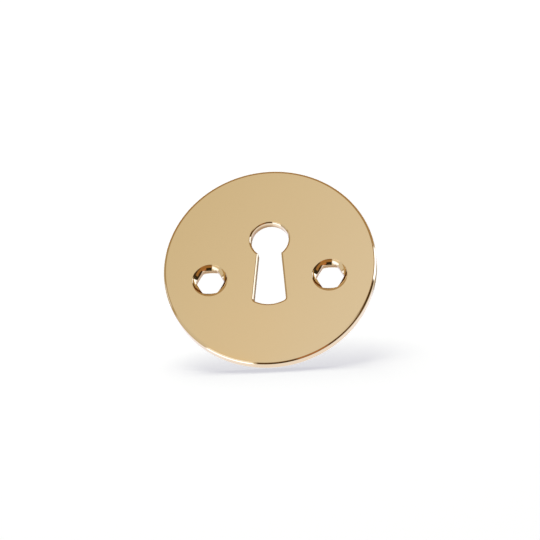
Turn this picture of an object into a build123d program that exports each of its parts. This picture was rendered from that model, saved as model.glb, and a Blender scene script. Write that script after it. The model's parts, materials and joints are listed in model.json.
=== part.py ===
"""Keyhole escutcheon: one round plate of polished brass, pierced by a keyhole and two hexagonal fixing holes.

The plate stands upright, as it is fitted to a drawer or a cupboard door. +X is to the viewer's right, +Z is up and
the polished front looks along -Y. The origin is on the axis of the key, in the plane of the plate's back. Lengths
are in millimetres.
"""
from build123d import *
import math
import os

# Plate: a flat disc whose edges are rolled over by polishing, more at the front than at the back
plate_diameter = 35.0
plate_thickness = 2.0
front_rim_radius = 0.45
back_rim_radius = 0.35

# Keyhole: a round head for the key's shank over a slot for its bit, which flares down to a rounded foot
key_axis_height = 4.85
head_diameter = 6.2
slot_top_width = 3.3
slot_foot_width = 5.3
slot_foot_drop = 6.8
slot_foot_radius = 5.0
slot_corner_radius = 0.5
keyhole_front_lip = 0.35
keyhole_back_lip = 0.35

# Fixing holes: a hexagon with a point to each side, between two seats pressed in by a ball, deeper at the front
fixing_spacing = 19.7
fixing_drop = 2.1
hexagon_across_flats = 4.1
hexagon_corner_radius = 0.3
front_seat_diameter = 5.7
back_seat_diameter = 4.8
seat_ball_radius = 3.5
seat_lip = 0.15

# Heights above the axis of the key, which lies above the middle of the disc
disc_height = -key_axis_height
fixing_height = disc_height - fixing_drop
foot_height = disc_height - slot_foot_drop

# Shapes are drawn on the plate's back, seen from the front, and carried forwards
back_plane = Plane.XZ
front_plane = back_plane.offset(plate_thickness)


def keyhole_outline():
    """The round head, joined to the flared slot, with the two corners of the slot's foot rounded."""
    half_top = slot_top_width / 2
    half_foot = slot_foot_width / 2
    arc_height = foot_height + slot_foot_radius
    corner_height = arc_height - math.sqrt(slot_foot_radius**2 - half_foot**2)
    left_corner = (-half_foot, corner_height)
    right_corner = (half_foot, corner_height)
    foot = ThreePointArc(left_corner, (0, foot_height), right_corner)
    right_side = Line(right_corner, (half_top, 0))
    top = Line((half_top, 0), (-half_top, 0))
    left_side = Line((-half_top, 0), left_corner)
    slot = make_face([foot, right_side, top, left_side])
    foot_corners = slot.vertices().sort_by(Axis.Y)[:2]
    slot = fillet(foot_corners, slot_corner_radius)
    return Circle(head_diameter / 2) + slot


def hexagon_outline():
    """The hexagon of a fixing hole about its own centre, with its corners slightly rounded."""
    hexagon = RegularPolygon(hexagon_across_flats / 2, 6, major_radius=False)
    return fillet(hexagon.vertices(), hexagon_corner_radius)


def new_edges(plate, before, plane):
    """The edges that a cut left in one of the plate's two faces."""
    depth = plane.origin.Y
    old = before.edges().filter_by_position(Axis.Y, depth, depth)
    return [edge for edge in plate.edges().filter_by_position(Axis.Y, depth, depth) if edge not in old]


def blank_disc():
    """The plain disc with its rolled rim."""
    disc = extrude(back_plane * Pos(0, disc_height) * Circle(plate_diameter / 2), plate_thickness)
    disc = fillet(disc.edges().group_by(Axis.Y)[0], front_rim_radius)
    return fillet(disc.edges().group_by(Axis.Y)[-1], back_rim_radius)


def cut_keyhole(plate):
    """The plate with the keyhole cut through it, its edges broken at the front and at the back."""
    cut = plate - extrude(back_plane * keyhole_outline(), plate_thickness)
    lipped = fillet(new_edges(cut, plate, front_plane), keyhole_front_lip)
    return fillet(new_edges(lipped, plate, back_plane), keyhole_back_lip)


def press_seat(plate, place, plane, outwards, diameter):
    """The plate with a round seat pressed into one face by a ball, and the seat's lip rounded."""
    ball_height = math.sqrt(seat_ball_radius**2 - (diameter / 2) ** 2)
    ball = plane * place * Pos(0, 0, outwards * ball_height) * Sphere(seat_ball_radius)
    pressed = plate - ball
    return fillet(new_edges(pressed, plate, plane), seat_lip)


def cut_fixing_hole(plate, across):
    """The plate with one fixing hole at a place across its width: two seats, and the hexagon that joins them."""
    place = Pos(across, fixing_height)
    seated = press_seat(plate, place, front_plane, 1, front_seat_diameter)
    seated = press_seat(seated, place, back_plane, -1, back_seat_diameter)
    return seated - extrude(back_plane * place * hexagon_outline(), plate_thickness)


def escutcheon():
    """The whole plate."""
    plate = cut_keyhole(blank_disc())
    for side in (-1, 1):
        plate = cut_fixing_hole(plate, side * fixing_spacing / 2)
    return plate


os.makedirs("parts", exist_ok=True)
escutcheon_plate = escutcheon()
print("escutcheon_plate:", len(escutcheon_plate.solids()), "solid,", round(escutcheon_plate.volume, 2), "mm3")
export_step(escutcheon_plate, "parts/escutcheon_plate.step")
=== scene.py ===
# %% [markdown]
# # A keyhole escutcheon in polished brass
#
# The part is a round plate that covers the key opening of a drawer or a cupboard door. It was punched out of
# brass sheet, so it is one piece: a disc with a keyhole in the middle and a fixing hole on each side. This
# lesson loads the measured plate, lays a finer skin over it, gives that skin its brass, and puts it on a white
# table in a small studio.
#
# Everything is worked out in millimetres, in the plate's own frame. +X is to the viewer's right, +Z is up, and
# the polished front looks along -Y. The axis of the key is the Y axis, and the plate's back lies in the plane
# Y = 0.

# %% Load the measured plate
import json
import math

import bpy
import numpy as np
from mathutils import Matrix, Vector, geometry

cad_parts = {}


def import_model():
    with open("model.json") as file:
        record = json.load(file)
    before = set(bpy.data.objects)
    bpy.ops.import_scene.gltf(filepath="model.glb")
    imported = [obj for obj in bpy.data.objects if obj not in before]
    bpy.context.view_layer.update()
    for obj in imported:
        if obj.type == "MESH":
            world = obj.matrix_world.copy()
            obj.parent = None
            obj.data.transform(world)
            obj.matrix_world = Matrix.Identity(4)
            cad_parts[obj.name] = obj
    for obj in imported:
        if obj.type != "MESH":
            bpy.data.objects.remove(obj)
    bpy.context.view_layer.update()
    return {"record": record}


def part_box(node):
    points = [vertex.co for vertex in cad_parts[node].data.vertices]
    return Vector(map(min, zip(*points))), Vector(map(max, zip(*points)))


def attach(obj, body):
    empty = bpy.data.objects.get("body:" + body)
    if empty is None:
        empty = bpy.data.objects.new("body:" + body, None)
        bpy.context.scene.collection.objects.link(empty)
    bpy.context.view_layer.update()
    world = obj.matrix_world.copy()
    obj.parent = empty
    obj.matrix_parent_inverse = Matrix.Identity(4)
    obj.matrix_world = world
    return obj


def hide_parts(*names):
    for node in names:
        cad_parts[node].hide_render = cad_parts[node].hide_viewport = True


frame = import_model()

MM = 0.001
plate_low, plate_high = (np.array(corner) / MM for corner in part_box("escutcheon_plate"))
mounts = {mount["name"]: mount for mount in frame["record"]["mounts"]}
print("plate from", plate_low.round(2), "to", plate_high.round(2), "mm, mounts", sorted(mounts))

# %% [markdown]
# ## Sizes
#
# The outside of the plate, the round head of the keyhole and the middles of the fixing holes are read from the
# frame, so they can't drift away from it. The remaining sizes are those of the punch and of the polishing
# wheel. A wheel takes more off the front edges than off the back ones, and it also wears the face down a
# hair's breadth towards the rim.

# %% Sizes in millimetres
plate_radius = (plate_high[0] - plate_low[0]) / 2
disc_centre = (plate_low + plate_high)[[0, 2]] / 2
front = plate_low[1]
thickness = plate_high[1] - plate_low[1]
head_radius = mounts["key_hole"]["dims"]["r_mm"]
fixing_centres = [
    np.array(mounts[name]["pos_m"])[[0, 2]] / MM for name in ("fixing_hole_left", "fixing_hole_right")
]

rim_front_radius = 0.45
rim_back_radius = 0.35
rim_wear_width = 1.6
rim_wear_drop = 0.012

slot_half_top = 1.65
slot_half_foot = 2.65
slot_foot_drop = 6.8
slot_foot_radius = 5.0
slot_corner_radius = 0.5
neck_radius = 0.1
keyhole_front_lip = 0.35
keyhole_back_lip = 0.35

hexagon_apothem = 2.05
hexagon_corner_radius = 0.3
front_seat_radius = 2.85
back_seat_radius = 2.4
seat_ball_radius = 3.5
seat_lip = 0.15
seat_ease = 0.05

flat_border = 0.04
print("radius", plate_radius, "thickness", round(thickness, 3), "mm")
print("fixing holes at", [centre.round(2).tolist() for centre in fixing_centres])

# %% [markdown]
# ## The keyhole's outline
#
# A keyhole is a circle for the key's shank over a slot for its bit. It could be drawn as a curve object and
# bevelled, but a bevel folds over itself at the sharp neck between circle and slot. Here the outline is a
# function instead: given how far it is set back into the metal, it returns the outline at that distance,
# always with the same number of points. Two such outlines can then be joined point by point. Only the right
# half is worked out, and the left half mirrors it.

# %% Helpers for flat shapes
def unit(vector):
    """The vector divided by its own length."""
    return vector / np.hypot(*vector)


def angle_of(vector):
    """The angle of a vector, counted from +X towards +Z."""
    return math.atan2(vector[1], vector[0])


def arc(centre, radius, start, stop, count):
    """Points on a circle from one angle to another: the centre plus the radius times (cos a, sin a)."""
    angles = np.linspace(start, stop, count)
    return centre + radius * np.stack([np.cos(angles), np.sin(angles)], axis=1)


print("a quarter circle in three points:", arc(np.zeros(2), 1.0, 0.0, math.pi / 2, 3).round(2).tolist())

# %% Outline of the keyhole
foot_points = 32
corner_points = 14
side_points = 60
neck_points = 8
head_points = 96
sharpest_radius = 0.01


def keyhole_half(set_back):
    """The right half of the keyhole, from the lowest point of its foot up to the top of its head.

    The slot's side is a straight line. A circle that touches the line and the foot's arc rounds the foot's
    corner, and one that touches the line and the head rounds the neck. The middle of each is where the line,
    moved sideways by the rounding's radius, meets a circle about the head or about the foot: the greater root
    of a quadratic. A set-back adds to every hollow radius and takes from the neck's, until the neck is as good
    as sharp.
    """
    foot_centre = np.array([0.0, disc_centre[1] - slot_foot_drop + slot_foot_radius])
    head_centre = np.zeros(2)
    corner_drop = math.sqrt(slot_foot_radius**2 - slot_half_foot**2)
    top = np.array([slot_half_top, 0.0])
    down = unit(foot_centre + [slot_half_foot, -corner_drop] - top)
    inwards = np.array([down[1], -down[0]])

    def meet(sideways, centre, distance):
        start = top + sideways * inwards - centre
        along = start @ down
        reach = -along + math.sqrt(along**2 - start @ start + distance**2)
        return start + reach * down + centre

    neck_reach = max(neck_radius, set_back + sharpest_radius)
    corner = meet(slot_corner_radius, foot_centre, slot_foot_radius - slot_corner_radius)
    neck = meet(-neck_reach, head_centre, head_radius + neck_reach)
    side_low = corner - (slot_corner_radius + set_back) * inwards
    side_high = neck + (neck_reach - set_back) * inwards
    share = np.linspace(0, 1, side_points)[:, None]
    corner_start = angle_of(corner - foot_centre)
    neck_start = angle_of(inwards) % math.tau
    neck_stop = angle_of(-neck) % math.tau
    pieces = [
        arc(foot_centre, slot_foot_radius + set_back, -math.pi / 2, corner_start, foot_points),
        arc(corner, slot_corner_radius + set_back, corner_start, angle_of(-inwards), corner_points),
        side_low + share * (side_high - side_low),
        arc(neck, neck_reach - set_back, neck_start, neck_stop, neck_points),
        arc(head_centre, head_radius + set_back, angle_of(neck), math.pi / 2, head_points),
    ]
    return np.concatenate([piece[:-1] for piece in pieces] + [pieces[-1][-1:]])


def keyhole_outline(set_back):
    """The whole keyhole, anticlockwise from the front: the right half, then its mirror image downwards."""
    right = keyhole_half(set_back)
    return np.concatenate([right, right[-2:0:-1] * [-1.0, 1.0]])


keyhole = keyhole_outline(0.0)
print("keyhole outline:", len(keyhole), "points, height", round(np.ptp(keyhole[:, 1]), 2), "mm")

# %% [markdown]
# ## Rounded edges
#
# Polishing rolled the edges over. A Bevel modifier could round them, but front and back differ here, and the
# worn face would still be missing. So an edge is one profile carried round an outline. The profile is written
# as two lists: how far a point is set back into the metal from the outline, and how deep it lies behind the
# front face. It starts with a narrow flat border, rolls over the front edge as a quarter circle, runs straight
# back and rolls over the back edge. The flat border matters: a mirror shows every error of its normals, and
# the border keeps those of the flat face exactly flat.

# %% Edge profiles and bands
wear_steps = 9
roll_steps = 16
wall_steps = 8
rim_directions = 540


def edge_profile(front_radius, back_radius, wear_width, wear_drop):
    """Set-back and depth along an edge, from the front face to the back face.

    The worn face falls as a parabola over the wear's width. The front roll is r (1 - sin a) back and
    r (1 - cos a) deep, and the back roll is the same quarter circle seen the other way.
    """
    turn = np.linspace(0, math.pi / 2, roll_steps)
    share = np.linspace(0, 1, wear_steps)[:-1]
    worn_back = front_radius + wear_width * (1 - share)
    wall = np.linspace(wear_drop + front_radius, thickness - back_radius, wall_steps)[1:-1]
    set_back = [
        worn_back[0] + flat_border,
        worn_back,
        front_radius * (1 - np.sin(turn)),
        0 * wall,
        back_radius * (1 - np.cos(turn)),
        back_radius + flat_border,
    ]
    depth = [
        0.0,
        wear_drop * share**2,
        wear_drop + front_radius * (1 - np.cos(turn)),
        wall,
        thickness - back_radius * (1 - np.sin(turn)),
        thickness,
    ]
    return np.hstack(set_back), np.hstack(depth)


def edge_band(outline, profile):
    """The grid of a profile carried round an outline: a step's outline, set back, at the step's depth."""
    set_back, depth = profile
    flat = np.stack([outline(step) for step in set_back], axis=1)
    deep = np.broadcast_to(front + depth, flat.shape[:2])
    return np.stack([flat[..., 0], deep, flat[..., 1]], axis=2)


def rim_outline(set_back):
    """The plate's rim, clockwise from the front: a circle about the disc's middle, less the set-back."""
    angles = -np.arange(rim_directions) * math.tau / rim_directions
    return disc_centre + (plate_radius - set_back) * np.stack([np.cos(angles), np.sin(angles)], axis=1)


rim_profile = edge_profile(rim_front_radius, rim_back_radius, rim_wear_width, rim_wear_drop)
rim_band = edge_band(rim_outline, rim_profile)
keyhole_profile = edge_profile(keyhole_front_lip, keyhole_back_lip, flat_border, 0.0)
keyhole_band = edge_band(keyhole_outline, keyhole_profile)
print("rim", rim_band.shape, "keyhole", keyhole_band.shape)

# %% [markdown]
# ## Fixing holes
#
# Each fixing hole is a hexagon between two round seats. A ball was pressed into the plate from both sides,
# deeper at the front, where the head of a screw sits, and the hexagon was punched through. Solids could be
# subtracted from each other to get the scalloped edge between seat and hexagon. Here the edge comes from a
# formula instead: in each direction from the middle, the ball is followed down to the depth where it is as
# wide as the hexagon, and the hexagon's own wall is followed from there. A short curve eases the turn, because
# a punch leaves no razor edge.

# %% Hexagon of a fixing hole
def hexagon_radius(angle):
    """Distance from the middle of a hexagon, points to left and right, to its outline with rounded corners.

    On a flat it is the apothem over the cosine of the angle from the flat's middle. Near a corner it is the
    far intersection with a circle about a point on the corner's own direction.
    """
    from_flat = (angle % (math.pi / 3)) - math.pi / 6
    from_corner = math.pi / 6 - np.abs(from_flat)
    middle = (hexagon_apothem - hexagon_corner_radius) / math.cos(math.pi / 6)
    touch = math.atan2(hexagon_corner_radius / 2, middle + hexagon_corner_radius * math.cos(math.pi / 6))
    flat = hexagon_apothem / np.cos(from_flat)
    across = np.minimum(np.abs(middle * np.sin(from_corner)), hexagon_corner_radius)
    rounded = middle * np.cos(from_corner) + np.sqrt(hexagon_corner_radius**2 - across**2)
    return np.where(from_corner < touch, rounded, flat)


corner_and_flat = np.array([0.0, math.pi / 6])
print("hexagon across its corners and flats:", (2 * hexagon_radius(corner_and_flat)).round(2), "mm")

# %% Seat pressed by a ball
lip_steps = 12
seat_steps = 12
ease_steps = 7


def seat_profile(wall, seat_radius):
    """Width and depth of a seat, from a narrow border of the flat face down to the hexagon's wall.

    The lip is a circle of radius e that touches the face and the ball. The seat is the ball itself, R sin b
    wide and R cos b below the ball's middle, down to the angle b where it is as wide as the hexagon. A
    quadratic curve with its handle on that corner eases into the wall.
    """
    ball_height = math.sqrt(seat_ball_radius**2 - seat_radius**2)
    lip_end = math.acos((seat_lip + ball_height) / (seat_lip + seat_ball_radius))
    lip_middle = (seat_lip + seat_ball_radius) * math.sin(lip_end)
    turn = lip_end * np.linspace(0, 1, lip_steps) + 0 * wall
    meeting = np.arcsin(wall / seat_ball_radius)
    seat_end = meeting + seat_ease / seat_ball_radius
    slope = lip_end + (seat_end - lip_end) * np.linspace(0, 1, seat_steps)[1:]
    seat_wide = seat_ball_radius * np.sin(slope)
    seat_deep = seat_ball_radius * np.cos(slope) - ball_height
    corner_deep = seat_ball_radius * np.cos(meeting) - ball_height
    share = np.linspace(0, 1, ease_steps)[1:]
    early, middle, late = (1 - share) ** 2, 2 * share * (1 - share), share**2
    wide = [
        0 * wall + lip_middle + flat_border,
        lip_middle - seat_lip * np.sin(turn),
        seat_wide,
        early * seat_wide[:, -1:] + (middle + late) * wall,
    ]
    deep = [
        0 * wall,
        seat_lip * (1 - np.cos(turn)),
        seat_deep,
        early * seat_deep[:, -1:] + middle * corner_deep + late * (corner_deep + seat_ease),
    ]
    return np.hstack(wide), np.hstack(deep)


flat_seat_deep = seat_profile(np.array([[hexagon_apothem]]), front_seat_radius)[1]
print("the front seat meets the flats", flat_seat_deep.max().round(2), "mm deep")

# %% Fixing holes
hole_directions = 360
hexagon_wall_steps = 6


def fixing_hole_band(centre):
    """The grid of one fixing hole: directions round the middle, by steps from the front to the back.

    The seat at the back is a shallower one seen the other way, and straight walls join the two.
    """
    angles = np.arange(hole_directions) * math.tau / hole_directions
    wall = hexagon_radius(angles)[:, None]
    front_wide, front_deep = seat_profile(wall, front_seat_radius)
    back_wide, back_deep = seat_profile(wall, back_seat_radius)
    down = np.linspace(0, 1, hexagon_wall_steps)[1:-1]
    wall_deep = front_deep[:, -1:] + down * (thickness - back_deep[:, -1:] - front_deep[:, -1:])
    wide = np.hstack([front_wide, wall + 0 * down, back_wide[:, ::-1]])
    deep = np.hstack([front_deep, wall_deep, thickness - back_deep[:, ::-1]])
    x = centre[0] + wide * np.cos(angles)[:, None]
    z = centre[1] + wide * np.sin(angles)[:, None]
    return np.stack([x, front + deep, z], axis=2)


hole_bands = [fixing_hole_band(centre) for centre in fixing_centres]
print("fixing holes", [band.shape for band in hole_bands])

# %% [markdown]
# ## One closed skin
#
# The bands are joined by two flat faces. A flat face with holes can't be a grid, and in Blender a single face
# can't have holes either. So its triangles come from Blender's own constrained Delaunay routine, which keeps
# every edge of the loops that it is given. The loops' points are the bands' own first or last columns, so the
# skin has no seam. Triangles that fall inside a hole are left out: a point is inside a loop where a line from
# it to the right crosses the loop an odd number of times.

# %% Join bands and flat faces
merge_distance = 1e-7
bands = [rim_band, keyhole_band, *hole_bands]
starts = np.cumsum([0] + [band.shape[0] * band.shape[1] for band in bands])
skin_points = np.concatenate([band.reshape(-1, 3) for band in bands])


def band_faces(start, around, along):
    """Quads of a grid that closes on itself round the outline."""
    index = start + np.arange(around * along).reshape(around, along)
    beside = np.roll(index, -1, axis=0)
    corners = [index[:, :-1], beside[:, :-1], beside[:, 1:], index[:, 1:]]
    return np.stack(corners, axis=2).reshape(-1, 4)


def inside(points, loop):
    """Whether each point lies inside a closed loop, by counting the loop's crossings to the right of it."""
    here, there = loop, np.roll(loop, -1, axis=0)
    above_here = here[None, :, 1] > points[:, None, 1]
    above_there = there[None, :, 1] > points[:, None, 1]
    rise = there[:, 1] - here[:, 1]
    safe_rise = np.where(rise == 0, 1.0, rise)
    share = (points[:, None, 1] - here[None, :, 1]) / safe_rise
    crossing = here[None, :, 0] + share * (there[:, 0] - here[:, 0])
    return ((above_here != above_there) & (crossing > points[:, None, 0])).sum(axis=1) % 2 == 1


def flat_face(column):
    """Triangles between the loops at the bands' first or last column, and whether every point was kept."""
    loops = [
        start + column % band.shape[1] + np.arange(band.shape[0]) * band.shape[1]
        for start, band in zip(starts, bands)
    ]
    chosen = np.concatenate(loops)
    flat = skin_points[chosen][:, [0, 2]]
    offsets = np.cumsum([0] + [len(loop) for loop in loops])
    edges = np.concatenate([
        np.stack([np.arange(len(loop)), np.roll(np.arange(len(loop)), -1)], axis=1) + offset
        for loop, offset in zip(loops, offsets)
    ])
    corners = [Vector(point) for point in flat]
    found = geometry.delaunay_2d_cdt(corners, edges.tolist(), [], 0, merge_distance)
    triangles = np.array(found[2])
    middles = flat[triangles].mean(axis=1)
    in_hole = [inside(middles, skin_points[loop][:, [0, 2]]) for loop in loops[1:]]
    return chosen[triangles[~np.any(in_hole, axis=0)]], len(found[0]) == len(flat)


front_triangles, front_kept = flat_face(0)
back_triangles, back_kept = flat_face(-1)
quads = np.concatenate([band_faces(start, *band.shape[:2]) for start, band in zip(starts, bands)])
print("quads", len(quads), "front triangles", len(front_triangles), "back triangles", len(back_triangles))
print("every point of the loops is kept:", front_kept and back_kept)

# %% [markdown]
# ## Torn and shaded walls
#
# A punch cuts the sheet for the first part of its way and tears it for the rest, and the torn part of the wall
# is rougher. The same share also paints shade: a darker brown that stands in for the shadowed table that the
# hole walls mirror. It could be painted by hand, but a formula of the depth is quicker and the same on every
# run: one number for each point says how torn and shaded the wall is there, and the finish reads it. The
# keyhole's wall turns dark from further forward on the left than on the right, which is painted shade alone.
# The number is zero again on the flat back, because the large triangles there would carry it all over the
# face.

# %% Torn share and painted shade of the walls
keyhole_torn_and_shade_start = 0.75
keyhole_painted_shade_shift = 0.5
keyhole_torn_and_shade_blend = 0.6
keyhole_torn_and_shade_end = 0.12
hexagon_torn_and_shade_middle = 1.27
hexagon_torn_and_shade_half = 0.4
hexagon_torn_and_shade_blend = 0.06


def band_depths(band):
    """How deep each point of a band lies behind the front face."""
    return band[..., 1].ravel() - front


# Painted shade: the keyhole's wall darkens from further forward on its left side than on its right
sideways = keyhole_band[..., 0].ravel() / head_radius
torn_and_shade_start = keyhole_torn_and_shade_start + keyhole_painted_shade_shift * sideways
keyhole_depths = band_depths(keyhole_band)
keyhole_torn_and_shaded = np.minimum(
    (keyhole_depths - torn_and_shade_start) / keyhole_torn_and_shade_blend,
    (thickness - keyhole_depths) / keyhole_torn_and_shade_end,
)
# A band of torn wall in each hexagon, painted a darker brown as shade as well
hexagon_torn_and_shaded = [
    (hexagon_torn_and_shade_half - np.abs(band_depths(band) - hexagon_torn_and_shade_middle)) / hexagon_torn_and_shade_blend
    for band in hole_bands
]
torn_and_shaded = np.clip(np.concatenate([0 * band_depths(rim_band), keyhole_torn_and_shaded, *hexagon_torn_and_shaded]), 0, 1)
print("torn points:", (torn_and_shaded > 0).sum(), "of", len(torn_and_shaded))

# %% [markdown]
# ## The mesh
#
# The arrays go into one mesh object, which stands for the measured plate. Points could be added one by one,
# but a mesh takes whole lists, which is faster. Faces that look the wrong way would turn the brass inside out,
# so the volume that they enclose is printed: it has to be positive.
#
# The plate is left out of diffuse bounces. Otherwise the brass would throw a warm patch on the table, which
# the many lights of a real studio drown.

# %% Make the plate
faces = quads.tolist() + front_triangles.tolist() + back_triangles[:, ::-1].tolist()
mesh = bpy.data.meshes.new("plate_skin")
mesh.from_pydata(skin_points * MM, [], faces)
# The share of torn wall and painted shade at each point, read by the brass
mesh.attributes.new("torn_wall_and_painted_shade", "FLOAT", "POINT").data.foreach_set("value", torn_and_shaded.astype(np.float32))
mesh.shade_smooth()
mesh.validate()
plate = bpy.data.objects.new("plate_skin", mesh)
plate.visible_diffuse = False
bpy.context.scene.collection.objects.link(plate)

# The volume is a sixth of the sum of a . (b x c) over all triangles with the corners a, b and c
triangles = np.concatenate([
    quads[:, [0, 1, 2]], quads[:, [0, 2, 3]], front_triangles, back_triangles[:, ::-1],
])
corners = skin_points[triangles]
volume = np.einsum("ij,ij->i", corners[:, 0], np.cross(corners[:, 1], corners[:, 2])).sum() / 6
print("plate:", len(triangles), "triangles, volume", round(volume, 2), "mm3")

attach(plate, "root")
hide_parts("escutcheon_plate")

# %% [markdown]
# ## Colours and nodes
#
# Colours are written as the hex codes of a paint program. The renderer counts light instead, so one function
# turns a code into shares of light. A material is a graph of nodes. It could be clicked together in the Shader
# Editor, but a script can be run again, and one small function that adds a node with its settings and links
# keeps the later cells short.

# %% Helpers for colours and nodes
def linear(code):
    """An sRGB hex colour as linear red, green, blue and an alpha of 1.

    The curve is that of the sRGB standard: a straight line near black, then a power of 2.4.
    """
    channels = np.array([int(code[place:place + 2], 16) for place in (1, 3, 5)]) / 255
    low = channels / 12.92
    high = ((channels + 0.055) / 1.055) ** 2.4
    return (*np.where(channels <= 0.04045, low, high), 1.0)


def add(tree, kind, settings=None, **links):
    """Adds a node. Settings name its properties or inputs, and links name inputs and what feeds them.

    A link's name is an input's name, or an underscore and the input's number.
    """
    node = tree.nodes.new(kind)
    for name, value in (settings or {}).items():
        if hasattr(node, name):
            setattr(node, name, value)
        else:
            node.inputs[name].default_value = value
    for name, socket in links.items():
        place = int(name[1:]) if name[1:].isdigit() else name.replace("_", " ")
        tree.links.new(socket, node.inputs[place])
    return node


print("a screen's middle grey is", round(linear("#808080")[0], 3), "of its white's light")

# %% [markdown]
# ## Polished brass
#
# The plate is common yellow brass, an alloy of copper and zinc, buffed to a mirror. A metal has no colour of
# its own under its surface, so all of the colour is in what it reflects: metallic is 1, and the base colour is
# the tint that a mirror of this brass gives to white. Over the face that tint carries a painted gradient of
# mirrored light: it drifts from a deeper gold at the upper left to a paler one at the lower right. It could be
# a picture wrapped round the plate, but a few nodes that read the place on the plate do the same at any size.
# The torn part of the punched walls was never reached by the wheel and is browner, and that brown is darkened
# further with painted shade where the walls mirror the shadowed table.

# %% Brass colour
# The two ends of a painted gradient of mirrored light across the face
brass_in_painted_shade = "#CFB485"
brass_in_painted_light = "#DAC198"
brass_torn_and_shaded = "#A27C48"
painted_light_way = (0.8, 0.0, -0.6)

brass = bpy.data.materials.new("buffed_yellow_brass")
brass.use_nodes = True
tree = brass.node_tree
shader = tree.nodes["Principled BSDF"]
shader.inputs["Metallic"].default_value = 1.0
place = add(tree, "ShaderNodeTexCoord").outputs["Object"]

along_painted_light_way = add(tree, "ShaderNodeVectorMath", {"operation": "DOT_PRODUCT"}, _0=place)
along_painted_light_way.inputs[1].default_value = painted_light_way
painted_light_middle = disc_centre @ np.array(painted_light_way)[[0, 2]]
painted_light_share = add(
    tree, "ShaderNodeMapRange",
    {"From Min": (painted_light_middle - plate_radius) * MM, "From Max": (painted_light_middle + plate_radius) * MM},
    Value=along_painted_light_way.outputs["Value"],
)
# A Mix node has two inputs for each kind of data: 2 and 3 take numbers, 6 and 7 take colours
# Painted light: the face is paler towards the lower right and a deeper gold towards the upper left
face_colour_with_painted_light = add(tree, "ShaderNodeMix", {"data_type": "RGBA"}, Factor=painted_light_share.outputs["Result"])
face_colour_with_painted_light.inputs[6].default_value = linear(brass_in_painted_shade)
face_colour_with_painted_light.inputs[7].default_value = linear(brass_in_painted_light)
# Torn walls get a browner tint: partly the real torn finish, partly painted shade
torn_and_shaded_share = add(tree, "ShaderNodeAttribute", {"attribute_name": "torn_wall_and_painted_shade"}).outputs["Fac"]
colour = add(tree, "ShaderNodeMix", {"data_type": "RGBA"}, Factor=torn_and_shaded_share, _6=face_colour_with_painted_light.outputs[2])
colour.inputs[7].default_value = linear(brass_torn_and_shaded)
tree.links.new(colour.outputs[2], shader.inputs["Base Color"])
plate.data.materials.append(brass)
print("brass from", brass_in_painted_shade, "to", brass_in_painted_light, "and", brass_torn_and_shaded, "where it is torn")

# %% [markdown]
# ## Haze and hairlines
#
# Buffing leaves a faint haze in patches of a few millimetres, and hairlines along the way the wheel went. The
# haze is a soft noise that drives the roughness. The hairlines are a noise stretched along X that tilts the
# surface by a trace. They could be cut into the mesh, but that would take millions of points. Real hairlines
# are a few hundredths of a millimetre wide, too fine to show, so they are drawn wider. The torn walls are
# duller all over.

# %% Haze
polished_roughness = 0.06
hazy_roughness = 0.1
torn_roughness = 0.25
haze_size = 6.0
haze_detail = 3.0
haze_low = 0.3
haze_high = 0.7

haze = add(tree, "ShaderNodeTexNoise", {"Scale": 1 / (haze_size * MM), "Detail": haze_detail}, Vector=place)
polish = add(
    tree, "ShaderNodeMapRange",
    {"From Min": haze_low, "From Max": haze_high, "To Min": polished_roughness, "To Max": hazy_roughness},
    Value=haze.outputs["Fac"],
)
roughness = add(tree, "ShaderNodeMix", {"data_type": "FLOAT"}, Factor=torn_and_shaded_share, _2=polish.outputs["Result"])
roughness.inputs[3].default_value = torn_roughness
tree.links.new(roughness.outputs[0], shader.inputs["Roughness"])
print("roughness from", polished_roughness, "to", hazy_roughness, "in patches of", haze_size, "mm")

# %% Hairlines
hairline_length = 9.0
hairline_width = 0.12
hairline_detail = 2.0
hairline_depth = 0.02
hairline_strength = 0.02

stretched = add(tree, "ShaderNodeMapping", {"vector_type": "POINT"}, Vector=place)
stretched.inputs["Scale"].default_value = [
    1 / (size * MM) for size in (hairline_length, hairline_width, hairline_width)
]
hairlines = add(
    tree, "ShaderNodeTexNoise", {"Scale": 1.0, "Detail": hairline_detail}, Vector=stretched.outputs[0],
)
bump = add(
    tree, "ShaderNodeBump", {"Strength": hairline_strength, "Distance": hairline_depth * MM},
    Height=hairlines.outputs["Fac"],
)
tree.links.new(bump.outputs["Normal"], shader.inputs["Normal"])
print("material", brass.name, "with", len(tree.nodes), "nodes")

# %% [markdown]
# ## Camera
#
# The camera looks slightly from the right and from below the plate's axis, through a long lens, which hardly
# narrows the far side of the plate. It could be nudged by eye until the edges lie on those of the photograph,
# but its place and lens were fitted to them together with the plate's sizes, which is steadier.

# %% Camera
camera_azimuth = math.radians(6.30)
camera_elevation = math.radians(-25.93)
camera_distance = 523.5
camera_lens = 213.6
camera_sensor = 36.0
camera_target = np.array([0.08, -2.0, -5.63])
level_share = math.cos(camera_elevation)
to_camera = np.array([
    math.sin(camera_azimuth) * level_share,
    -math.cos(camera_azimuth) * level_share,
    math.sin(camera_elevation),
])
camera_data = bpy.data.cameras.new("photo_camera")
camera_data.sensor_width = camera_sensor
camera_data.lens = camera_lens
camera = bpy.data.objects.new("photo_camera", camera_data)
camera.location = Vector((camera_target + camera_distance * to_camera) * MM)
camera.rotation_euler = Vector(-to_camera).to_track_quat("-Z", "Y").to_euler()
bpy.context.scene.collection.objects.link(camera)
bpy.context.scene.camera = camera
bpy.context.scene.view_settings.view_transform = "Standard"
print("camera at", (np.array(camera.location) / MM).round(1), "mm")

# %% [markdown]
# ## Table
#
# The plate leans far back over a white table. In the plate's own frame that is a tilted plane through the
# lowest point of the plate's back edge. More light could make a table white, but it would bleach the plate as
# well. So the table's paint is part diffuse, which takes the soft shadow, and part emission, which lifts the
# rest to pure white. Seen from below it is clear, so that it hides nothing from behind the plate. Mirror rays
# pass it by and meet the studio behind it.

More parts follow.
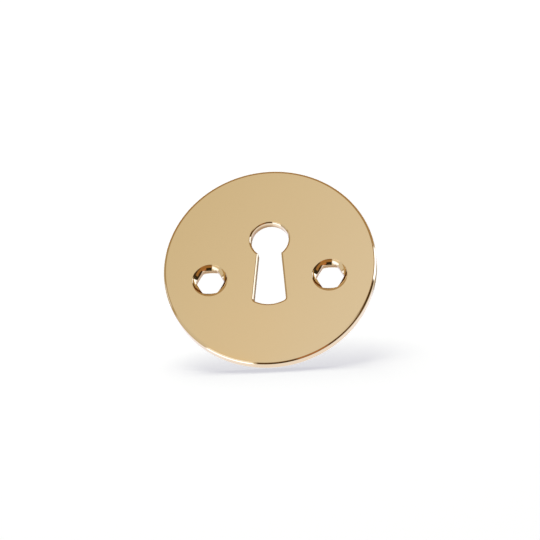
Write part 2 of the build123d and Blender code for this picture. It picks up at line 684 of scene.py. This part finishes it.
# %% White table
lean = math.radians(43.0)
table_half = 900.0
table_up = np.array([0.0, -math.sin(lean), math.cos(lean)])
table_back = np.array([0.0, math.cos(lean), math.sin(lean)])
table_right = np.array([1.0, 0.0, 0.0])
contact = np.array([disc_centre[0], front + thickness, disc_centre[1] - plate_radius])

table_corners = [
    contact + table_half * (across * table_right + away * table_back)
    for across, away in ((-1, -1), (1, -1), (1, 1), (-1, 1))
]
table_mesh = bpy.data.meshes.new("white_table")
table_mesh.from_pydata(np.array(table_corners) * MM, [], [(0, 1, 2, 3)])
table = bpy.data.objects.new("white_table", table_mesh)
bpy.context.scene.collection.objects.link(table)
table.visible_glossy = False
print("table through", contact.round(2), "facing", table_up.round(3))

# %% Table paint
table_white = "#FFFFFF"
table_glow = 0.53
table_glow_colour = "#F8F7FF"

paint = bpy.data.materials.new("matt_white_paint")
paint.use_nodes = True
tree = paint.node_tree
tree.nodes.remove(tree.nodes["Principled BSDF"])
matt = add(tree, "ShaderNodeBsdfDiffuse", {"Color": linear(table_white)})
glow = add(tree, "ShaderNodeEmission", {"Color": linear(table_glow_colour), "Strength": table_glow})
lit = add(tree, "ShaderNodeAddShader", _0=matt.outputs[0], _1=glow.outputs[0])
clear = add(tree, "ShaderNodeBsdfTransparent")
below = add(tree, "ShaderNodeNewGeometry").outputs["Backfacing"]
sided = add(tree, "ShaderNodeMixShader", _0=below, _1=lit.outputs[0], _2=clear.outputs[0])
tree.links.new(sided.outputs[0], tree.nodes["Material Output"].inputs["Surface"])
table_mesh.materials.append(paint)
print("material", paint.name, "with", len(tree.nodes), "nodes")

# %% [markdown]
# ## Studio
#
# A mirror is only as good as what stands round it. A panorama picture could stand there, but a written room
# can be moved light by light. The world here is a small photographer's room as a function of direction. A
# large soft light in front fills the flat face with even white. White walls and a sheet stand behind, and a
# brown side and a warm ceiling tint the upper edges. A few narrow lights give the glints: a light table to the
# lower left, one light on each side, and one that shows in the pressed seats. The dark end of the room to the
# lower right draws the fine dark lines along the rolled edges, broken by a brown and an orange card.
#
# Each zone is a product of soft steps along chosen axes, and later zones cover earlier ones. A step cuts the
# room along a plane. All that one place of the rim shows the camera lies in one plane too. So a light can be
# made to begin and end at a chosen place round the rim and round the lips of the holes.

# %% Steps across the room
world = bpy.data.worlds.new("studio")
bpy.context.scene.world = world
world.use_nodes = True
tree = world.node_tree
for node in list(tree.nodes):
    tree.nodes.remove(node)
direction = add(tree, "ShaderNodeTexCoord").outputs["Generated"]
edge_softness = 0.02


def soft_step(axis, start, full):
    """0 where the direction's share along an axis is below start, 1 where it is above full, smooth between."""
    share = add(tree, "ShaderNodeVectorMath", {"operation": "DOT_PRODUCT"}, _0=direction)
    share.inputs[1].default_value = axis
    step = add(
        tree, "ShaderNodeMapRange",
        {"interpolation_type": "SMOOTHSTEP", "From Min": start, "From Max": full},
        Value=share.outputs["Value"],
    )
    return step.outputs["Result"]


def edge_plane(facing):
    """The plane of all that an edge mirrors to the camera: the plane's axis and its place along that axis.

    The edge faces so many degrees from +X towards +Z. All normals of its roll are square to one axis. A mirror
    turns round only the part of a ray that lies along its normal. So along that axis the ray goes on as it
    came, and its share there is minus the camera's.
    """
    angle = math.radians(facing)
    axis = np.array([-math.sin(angle), 0.0, math.cos(angle)])
    return axis, -(axis @ to_camera)


def after(facing, softness=edge_softness):
    """The step into what edges mirror that face further round than an angle."""
    axis, place = edge_plane(facing)
    return axis, place - softness, place + softness


def before(facing, softness=edge_softness):
    """The step into what edges mirror that face less far round than an angle."""
    axis, place = edge_plane(facing)
    return -axis, -place - softness, -place + softness


print("an edge that faces right mirrors the plane", [part.round(3).tolist() for part in edge_plane(0)])

# %% Zones of the studio
RIGHT, LEFT = (1, 0, 0), (-1, 0, 0)
BACK, FRONT = (0, 1, 0), (0, -1, 0)
UP, DOWN = (0, 0, 1), (0, 0, -1)
upper_right = (0.707, 0, 0.707)
lower_right = (0.707, 0, -0.707)
lower_left = (-0.678, 0, -0.735)
front_left = (-0.573, -0.819, 0)
lower_left_rim = [after(-126), before(-99)]
lower_right_rim = [after(-97, 0.0125), (DOWN, 0.04, 0.16)]

# Brass takes the blue out of what it mirrors, so a light has to be cool to give a white glint
glint = "#C4D6FF"
shade = "#FFE0B0"
room_level = 0.62
room_colour = "#FFEFD2"
# A zone is its level, its colour and its steps: an axis, where the step starts and where it is full
studio_zones = {
    "front_softbox": (1.0, "#FFFFFF", [
        (FRONT, 0.48, 0.62), (lower_left, -0.48, -0.36), (lower_right, -0.58, -0.46), (DOWN, -0.66, -0.56),
    ]),
    "brown_side": (0.35, "#FFCB94", [(RIGHT, 0.14, 0.26), (UP, 0.08, 0.20), (FRONT, 0.58, 0.68)]),
    "white_wall": (1.0, "#FFFFFF", [(BACK, 0.20, 0.50)]),
    "back_sheet": (1.5, "#E6EAFF", [(BACK, 0.76, 0.86)]),
    "shaded_back": (0.45, "#FFE8C8", [(BACK, 0.45, 0.60), (RIGHT, 0.0, 0.10), (UP, 0.28, 0.38)]),
    "ceiling": (0.55, "#FFD9A0", [(UP, 0.52, 0.64)]),
    "low_wall": (1.05, "#FFF8EC", [*lower_left_rim, (FRONT, -0.60, -0.40)]),
    "table_light": (6.0, glint, [*lower_left_rim, (BACK, 0.20, 0.50), (FRONT, -0.92, -0.72)]),
    "seat_light": (3.4, glint, [*lower_left_rim, (BACK, -0.56, -0.48), (FRONT, 0.24, 0.34)]),
    "left_wall": (0.92, "#FFFFFF", [after(-152), before(-126), (FRONT, -0.20, 0.0), (LEFT, 0.20, 0.30)]),
    "left_light": (3.2, glint, [
        after(-172), before(-158), (BACK, -0.42, -0.34), (FRONT, 0.10, 0.18), (LEFT, 0.50, 0.60),
    ]),
    "right_light": (4.2, glint, [after(-11), before(8), (RIGHT, 0.56, 0.66), (FRONT, -0.75, -0.55)]),
    "dark_end": (0.03, shade, [
        *lower_right_rim, (BACK, -0.72, -0.60), (FRONT, -0.80, -0.60), (front_left, -0.88, -0.79),
    ]),
    "dark_side": (0.05, shade, [
        before(-11), (upper_right, 0.30, 0.50), (RIGHT, 0.50, 0.66), (FRONT, -0.20, 0.0),
    ]),
    "orange_card": (0.7, "#FFB070", [
        after(-75, 0.04), before(-57, 0.035), (BACK, -0.62, -0.50), (FRONT, -0.50, -0.30),
    ]),
    "brown_card": (0.5, "#FFC27A", [*lower_right_rim, (BACK, -0.48, -0.40), (FRONT, 0.16, 0.26)]),
}
print("studio zones:", ", ".join(studio_zones))

# %% [markdown]
# ## Who sees the room
#
# The zones are laid over each other, each through its own mask. Only mirror rays see the result. The camera
# sees plain white, as in a product picture, and the table is lit by an even dome. All of this could be built
# from cards and lamps, but they would show in the picture and cast shadows of their own.

# %% Light the world
background_white = "#FFFFFF"
dome_level = 0.15
dome_colour = "#F6F6FF"

light = add(tree, "ShaderNodeRGB").outputs[0]
light.default_value = [room_level * channel for channel in linear(room_colour)]
for zone_level, zone_colour, steps in studio_zones.values():
    mask = soft_step(*steps[0])
    for step in steps[1:]:
        both = add(tree, "ShaderNodeMath", {"operation": "MULTIPLY"}, _0=mask, _1=soft_step(*step))
        mask = both.outputs[0]
    layered = add(tree, "ShaderNodeMix", {"data_type": "RGBA"}, _0=mask, _6=light)
    layered.inputs[7].default_value = [zone_level * channel for channel in linear(zone_colour)]
    light = layered.outputs[2]

room = add(tree, "ShaderNodeBackground", Color=light)
dome = add(tree, "ShaderNodeBackground", {"Color": linear(dome_colour), "Strength": dome_level})
white = add(tree, "ShaderNodeBackground", {"Color": linear(background_white), "Strength": 1.0})
path = add(tree, "ShaderNodeLightPath")
mirrored = add(
    tree, "ShaderNodeMixShader", _0=path.outputs["Is Glossy Ray"], _1=dome.outputs[0], _2=room.outputs[0],
)
seen = add(
    tree, "ShaderNodeMixShader", _0=path.outputs["Is Camera Ray"], _1=mirrored.outputs[0], _2=white.outputs[0],
)
add(tree, "ShaderNodeOutputWorld", Surface=seen.outputs[0])
print("studio:", len(studio_zones), "zones,", len(tree.nodes), "nodes")

# %% [markdown]
# ## Key light
#
# The plate's shadow is soft and falls forwards, and more to the right than to the left. So one large lamp
# hangs behind the plate and a little to the left. A sun lamp could do the same, but a disc is easier to
# picture: the wider the disc, the softer the shadow. It hangs far away so that it lights the whole table
# evenly. Mirror rays don't see it, because the studio already holds the lights that show in the brass.

# %% Key light
lamp_height = 2430.0
lamp_left = 570.0
lamp_behind = 1670.0
lamp_size = 2180.0
lamp_power = 48.3
lamp_colour = "#FDFFEE"
lamp_data = bpy.data.lights.new("key_light", "AREA")
lamp_data.shape = "DISK"
lamp_data.size = lamp_size * MM
lamp_data.energy = lamp_power
lamp_data.color = linear(lamp_colour)[:3]
lamp = bpy.data.objects.new("key_light", lamp_data)
lamp_place = contact + lamp_height * table_up - lamp_left * table_right + lamp_behind * table_back
lamp.location = Vector(lamp_place * MM)
lamp.rotation_euler = Vector(contact - lamp_place).to_track_quat("-Z", "Y").to_euler()
lamp.visible_glossy = False
bpy.context.scene.collection.objects.link(lamp)
print("key light at", lamp_place.round(0), "mm")
